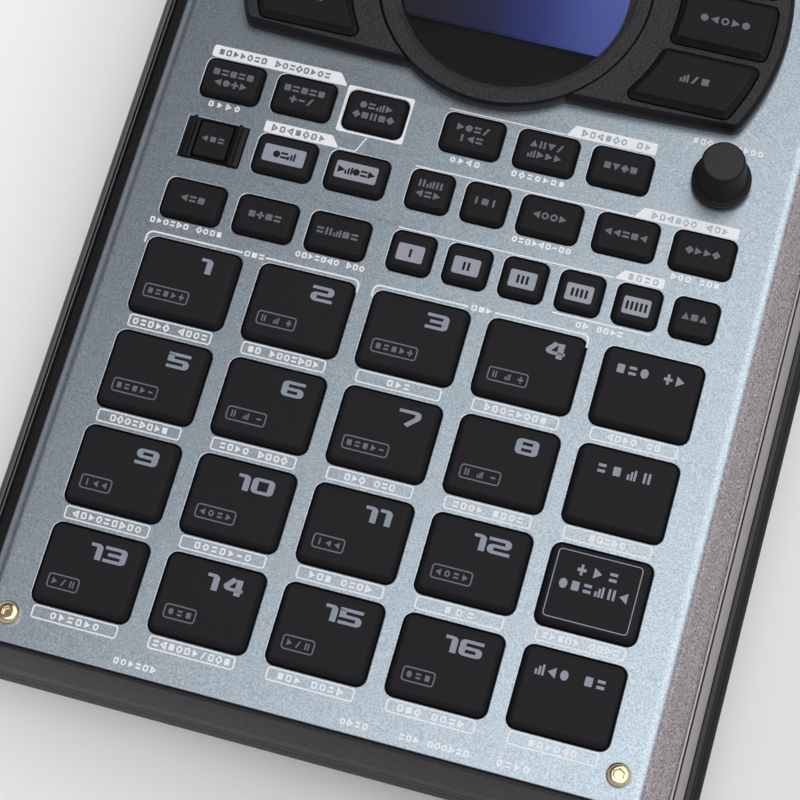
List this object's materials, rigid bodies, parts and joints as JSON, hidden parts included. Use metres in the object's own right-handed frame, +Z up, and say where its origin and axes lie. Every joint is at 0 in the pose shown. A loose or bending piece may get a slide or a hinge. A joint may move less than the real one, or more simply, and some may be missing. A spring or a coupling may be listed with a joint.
{
  "type": "drum machine",
  "caption": "Desk-top sampling drum machine with a sloping panel, rubber pads, small keys, a round display, an encoder and knobs, on a moulded base with sockets.",
  "frame": {"origin": "middle of the footprint, on the table under the rubber feet", "axes": "+Z up, front of the machine towards -Y, +X to the player's right"},
  "size_m": [0.1778, 0.2761, 0.0707],
  "materials": {
    "panel": "metallic satin paint",
    "case_dark": "fine sparkle texture",
    "case_base": "fine texture",
    "bezel": "fine sparkle texture",
    "lens": "clear gloss",
    "screen": "dark glass",
    "board": "solder mask",
    "pad_rubber": "matt",
    "key_plastic": "satin",
    "knob_plastic": "satin",
    "foot_rubber": "matt",
    "steel": "turned",
    "screw_plate": "plated",
    "screw_black": "blackened",
    "switch_plastic": "satin"
  },
  "bodies": {
    "case": {"top_panel": "panel", "upper_case": "case_dark", "bottom_case": "case_base", "effect_bezel": "bezel", "display_ring": "bezel", "display_lens": "lens", "screen_module": "screen", "main_board": "board", "rear_jack_board": "board", "front_jack_board": "board", "feet": "foot_rubber", "panel_screws": "screw_plate", "base_screws": "screw_black", "key_guard": "key_plastic"},
    "pad_1": {"pad_1": "pad_rubber"},
    "pad_2": {"pad_2": "pad_rubber"},
    "pad_3": {"pad_3": "pad_rubber"},
    "pad_4": {"pad_4": "pad_rubber"},
    "pad_5": {"pad_5": "pad_rubber"},
    "pad_6": {"pad_6": "pad_rubber"},
    "pad_7": {"pad_7": "pad_rubber"},
    "pad_8": {"pad_8": "pad_rubber"},
    "pad_9": {"pad_9": "pad_rubber"},
    "pad_10": {"pad_10": "pad_rubber"},
    "pad_11": {"pad_11": "pad_rubber"},
    "pad_12": {"pad_12": "pad_rubber"},
    "pad_13": {"pad_13": "pad_rubber"},
    "pad_14": {"pad_14": "pad_rubber"},
    "pad_15": {"pad_15": "pad_rubber"},
    "pad_16": {"pad_16": "pad_rubber"},
    "function_pad_1": {"function_pad_1": "pad_rubber"},
    "function_pad_2": {"function_pad_2": "pad_rubber"},
    "function_pad_3": {"function_pad_3": "pad_rubber"},
    "function_pad_4": {"function_pad_4": "pad_rubber"},
    "effect_key_1": {"effect_key_1": "key_plastic"},
    "effect_key_2": {"effect_key_2": "key_plastic"},
    "effect_key_3": {"effect_key_3": "key_plastic"},
    "effect_key_4": {"effect_key_4": "key_plastic"},
    "effect_key_5": {"effect_key_5": "key_plastic"},
    "effect_key_6": {"effect_key_6": "key_plastic"},
    "keys_sequence": {"keys_sequence": "key_plastic"},
    "keys_edit": {"keys_edit": "key_plastic"},
    "key_delete": {"key_delete": "key_plastic"},
    "key_record": {"key_record": "key_plastic"},
    "key_resample": {"key_resample": "key_plastic"},
    "keys_mode_small": {"keys_mode_small": "key_plastic"},
    "keys_mode_wide": {"keys_mode_wide": "key_plastic"},
    "keys_play": {"keys_play": "key_plastic"},
    "keys_bank": {"keys_bank": "key_plastic"},
    "key_shift": {"key_shift": "key_plastic"},
    "volume_knob": {"volume_knob": "knob_plastic"},
    "control_knob_1": {"control_knob_1": "knob_plastic"},
    "control_knob_2": {"control_knob_2": "knob_plastic"},
    "control_knob_3": {"control_knob_3": "knob_plastic"},
    "encoder_shaft": {"encoder_shaft": "steel"},
    "encoder_knob": {"encoder_knob": "knob_plastic"},
    "gain_knob": {"gain_knob": "knob_plastic"},
    "input_switch": {"input_switch": "switch_plastic"},
    "power_switch": {"power_switch": "switch_plastic"},
    "battery_door": {"battery_door": "case_base"}
  },
  "joints": [
    {"name": "pad_1_press", "type": "slide", "parent": "case", "child": "pad_1", "axis": [0, -0.0523, 0.9986], "range_m": [-0.001, 0], "stiffness_N_per_m": 600, "springref_m": 0.001},
    {"name": "pad_2_press", "type": "slide", "parent": "case", "child": "pad_2", "axis": [0, -0.0523, 0.9986], "range_m": [-0.001, 0], "stiffness_N_per_m": 600, "springref_m": 0.001},
    {"name": "pad_3_press", "type": "slide", "parent": "case", "child": "pad_3", "axis": [0, -0.0523, 0.9986], "range_m": [-0.001, 0], "stiffness_N_per_m": 600, "springref_m": 0.001},
    {"name": "pad_4_press", "type": "slide", "parent": "case", "child": "pad_4", "axis": [0, -0.0523, 0.9986], "range_m": [-0.001, 0], "stiffness_N_per_m": 600, "springref_m": 0.001},
    {"name": "pad_5_press", "type": "slide", "parent": "case", "child": "pad_5", "axis": [0, -0.0523, 0.9986], "range_m": [-0.001, 0], "stiffness_N_per_m": 600, "springref_m": 0.001},
    {"name": "pad_6_press", "type": "slide", "parent": "case", "child": "pad_6", "axis": [0, -0.0523, 0.9986], "range_m": [-0.001, 0], "stiffness_N_per_m": 600, "springref_m": 0.001},
    {"name": "pad_7_press", "type": "slide", "parent": "case", "child": "pad_7", "axis": [0, -0.0523, 0.9986], "range_m": [-0.001, 0], "stiffness_N_per_m": 600, "springref_m": 0.001},
    {"name": "pad_8_press", "type": "slide", "parent": "case", "child": "pad_8", "axis": [0, -0.0523, 0.9986], "range_m": [-0.001, 0], "stiffness_N_per_m": 600, "springref_m": 0.001},
    {"name": "pad_9_press", "type": "slide", "parent": "case", "child": "pad_9", "axis": [0, -0.0523, 0.9986], "range_m": [-0.001, 0], "stiffness_N_per_m": 600, "springref_m": 0.001},
    {"name": "pad_10_press", "type": "slide", "parent": "case", "child": "pad_10", "axis": [0, -0.0523, 0.9986], "range_m": [-0.001, 0], "stiffness_N_per_m": 600, "springref_m": 0.001},
    {"name": "pad_11_press", "type": "slide", "parent": "case", "child": "pad_11", "axis": [0, -0.0523, 0.9986], "range_m": [-0.001, 0], "stiffness_N_per_m": 600, "springref_m": 0.001},
    {"name": "pad_12_press", "type": "slide", "parent": "case", "child": "pad_12", "axis": [0, -0.0523, 0.9986], "range_m": [-0.001, 0], "stiffness_N_per_m": 600, "springref_m": 0.001},
    {"name": "pad_13_press", "type": "slide", "parent": "case", "child": "pad_13", "axis": [0, -0.0523, 0.9986], "range_m": [-0.001, 0], "stiffness_N_per_m": 600, "springref_m": 0.001},
    {"name": "pad_14_press", "type": "slide", "parent": "case", "child": "pad_14", "axis": [0, -0.0523, 0.9986], "range_m": [-0.001, 0], "stiffness_N_per_m": 600, "springref_m": 0.001},
    {"name": "pad_15_press", "type": "slide", "parent": "case", "child": "pad_15", "axis": [0, -0.0523, 0.9986], "range_m": [-0.001, 0], "stiffness_N_per_m": 600, "springref_m": 0.001},
    {"name": "pad_16_press", "type": "slide", "parent": "case", "child": "pad_16", "axis": [0, -0.0523, 0.9986], "range_m": [-0.001, 0], "stiffness_N_per_m": 600, "springref_m": 0.001},
    {"name": "function_pad_1_press", "type": "slide", "parent": "case", "child": "function_pad_1", "axis": [0, -0.0523, 0.9986], "range_m": [-0.001, 0], "stiffness_N_per_m": 600, "springref_m": 0.001},
    {"name": "function_pad_2_press", "type": "slide", "parent": "case", "child": "function_pad_2", "axis": [0, -0.0523, 0.9986], "range_m": [-0.001, 0], "stiffness_N_per_m": 600, "springref_m": 0.001},
    {"name": "function_pad_3_press", "type": "slide", "parent": "case", "child": "function_pad_3", "axis": [0, -0.0523, 0.9986], "range_m": [-0.001, 0], "stiffness_N_per_m": 600, "springref_m": 0.001},
    {"name": "function_pad_4_press", "type": "slide", "parent": "case", "child": "function_pad_4", "axis": [0, -0.0523, 0.9986], "range_m": [-0.001, 0], "stiffness_N_per_m": 600, "springref_m": 0.001},
    {"name": "effect_key_1_press", "type": "slide", "parent": "case", "child": "effect_key_1", "axis": [0, -0.0523, 0.9986], "range_m": [-0.001, 0], "stiffness_N_per_m": 500, "springref_m": 0.001},
    {"name": "effect_key_2_press", "type": "slide", "parent": "case", "child": "effect_key_2", "axis": [0, -0.0523, 0.9986], "range_m": [-0.001, 0], "stiffness_N_per_m": 500, "springref_m": 0.001},
    {"name": "effect_key_3_press", "type": "slide", "parent": "case", "child": "effect_key_3", "axis": [0, -0.0523, 0.9986], "range_m": [-0.001, 0], "stiffness_N_per_m": 500, "springref_m": 0.001},
    {"name": "effect_key_4_press", "type": "slide", "parent": "case", "child": "effect_key_4", "axis": [0, -0.0523, 0.9986], "range_m": [-0.001, 0], "stiffness_N_per_m": 500, "springref_m": 0.001},
    {"name": "effect_key_5_press", "type": "slide", "parent": "case", "child": "effect_key_5", "axis": [0, -0.0523, 0.9986], "range_m": [-0.001, 0], "stiffness_N_per_m": 500, "springref_m": 0.001},
    {"name": "effect_key_6_press", "type": "slide", "parent": "case", "child": "effect_key_6", "axis": [0, -0.0523, 0.9986], "range_m": [-0.001, 0], "stiffness_N_per_m": 500, "springref_m": 0.001},
    {"name": "keys_sequence_press", "type": "slide", "parent": "case", "child": "keys_sequence", "axis": [0, -0.0523, 0.9986], "range_m": [-0.001, 0], "stiffness_N_per_m": 500, "springref_m": 0.001},
    {"name": "keys_edit_press", "type": "slide", "parent": "case", "child": "keys_edit", "axis": [0, -0.0523, 0.9986], "range_m": [-0.001, 0], "stiffness_N_per_m": 500, "springref_m": 0.001},
    {"name": "key_delete_press", "type": "slide", "parent": "case", "child": "key_delete", "axis": [0, -0.0523, 0.9986], "range_m": [-0.001, 0], "stiffness_N_per_m": 500, "springref_m": 0.001},
    {"name": "key_record_press", "type": "slide", "parent": "case", "child": "key_record", "axis": [0, -0.0523, 0.9986], "range_m": [-0.001, 0], "stiffness_N_per_m": 500, "springref_m": 0.001},
    {"name": "key_resample_press", "type": "slide", "parent": "case", "child": "key_resample", "axis": [0, -0.0523, 0.9986], "range_m": [-0.001, 0], "stiffness_N_per_m": 500, "springref_m": 0.001},
    {"name": "keys_mode_small_press", "type": "slide", "parent": "case", "child": "keys_mode_small", "axis": [0, -0.0523, 0.9986], "range_m": [-0.001, 0], "stiffness_N_per_m": 500, "springref_m": 0.001},
    {"name": "keys_mode_wide_press", "type": "slide", "parent": "case", "child": "keys_mode_wide", "axis": [0, -0.0523, 0.9986], "range_m": [-0.001, 0], "stiffness_N_per_m": 500, "springref_m": 0.001},
    {"name": "keys_play_press", "type": "slide", "parent": "case", "child": "keys_play", "axis": [0, -0.0523, 0.9986], "range_m": [-0.001, 0], "stiffness_N_per_m": 500, "springref_m": 0.001},
    {"name": "keys_bank_press", "type": "slide", "parent": "case", "child": "keys_bank", "axis": [0, -0.0523, 0.9986], "range_m": [-0.001, 0], "stiffness_N_per_m": 500, "springref_m": 0.001},
    {"name": "key_shift_press", "type": "slide", "parent": "case", "child": "key_shift", "axis": [0, -0.0523, 0.9986], "range_m": [-0.001, 0], "stiffness_N_per_m": 500, "springref_m": 0.001},
    {"name": "volume_knob_turn", "type": "hinge", "parent": "case", "child": "volume_knob", "pos_m": [-0.054, 0.10273, 0.05544], "axis": [0, -0.0523, 0.9986], "range_deg": [-150, 150]},
    {"name": "control_knob_1_turn", "type": "hinge", "parent": "case", "child": "control_knob_1", "pos_m": [-0.018, 0.10273, 0.05544], "axis": [0, -0.0523, 0.9986], "range_deg": [-150, 150]},
    {"name": "control_knob_2_turn", "type": "hinge", "parent": "case", "child": "control_knob_2", "pos_m": [0.018, 0.10273, 0.05544], "axis": [0, -0.0523, 0.9986], "range_deg": [-150, 150]},
    {"name": "control_knob_3_turn", "type": "hinge", "parent": "case", "child": "control_knob_3", "pos_m": [0.054, 0.10273, 0.05544], "axis": [0, -0.0523, 0.9986], "range_deg": [-150, 150]},
    {"name": "encoder_press", "type": "slide", "parent": "case", "child": "encoder_shaft", "axis": [0, -0.0523, 0.9986], "range_m": [-0.0008, 0], "stiffness_N_per_m": 500, "springref_m": 0.001},
    {"name": "encoder_turn", "type": "hinge", "parent": "encoder_shaft", "child": "encoder_knob", "pos_m": [0.05965, 0.01375, 0.05078], "axis": [0, -0.0523, 0.9986], "continuous": true},
    {"name": "gain_turn", "type": "hinge", "parent": "case", "child": "gain_knob", "pos_m": [0.012, -0.137, 0.0123], "axis": [0, -1, 0], "range_deg": [-140, 140]},
    {"name": "input_switch_slide", "type": "slide", "parent": "case", "child": "input_switch", "axis": [1, 0, 0], "range_m": [0, 0.004]},
    {"name": "power_switch_slide", "type": "slide", "parent": "case", "child": "power_switch", "axis": [1, 0, 0], "range_m": [0, 0.004]},
    {"name": "battery_door_lift_off", "type": "slide", "parent": "case", "child": "battery_door", "axis": [0, 0, -1], "range_m": [0, 0.02]}
  ]
}
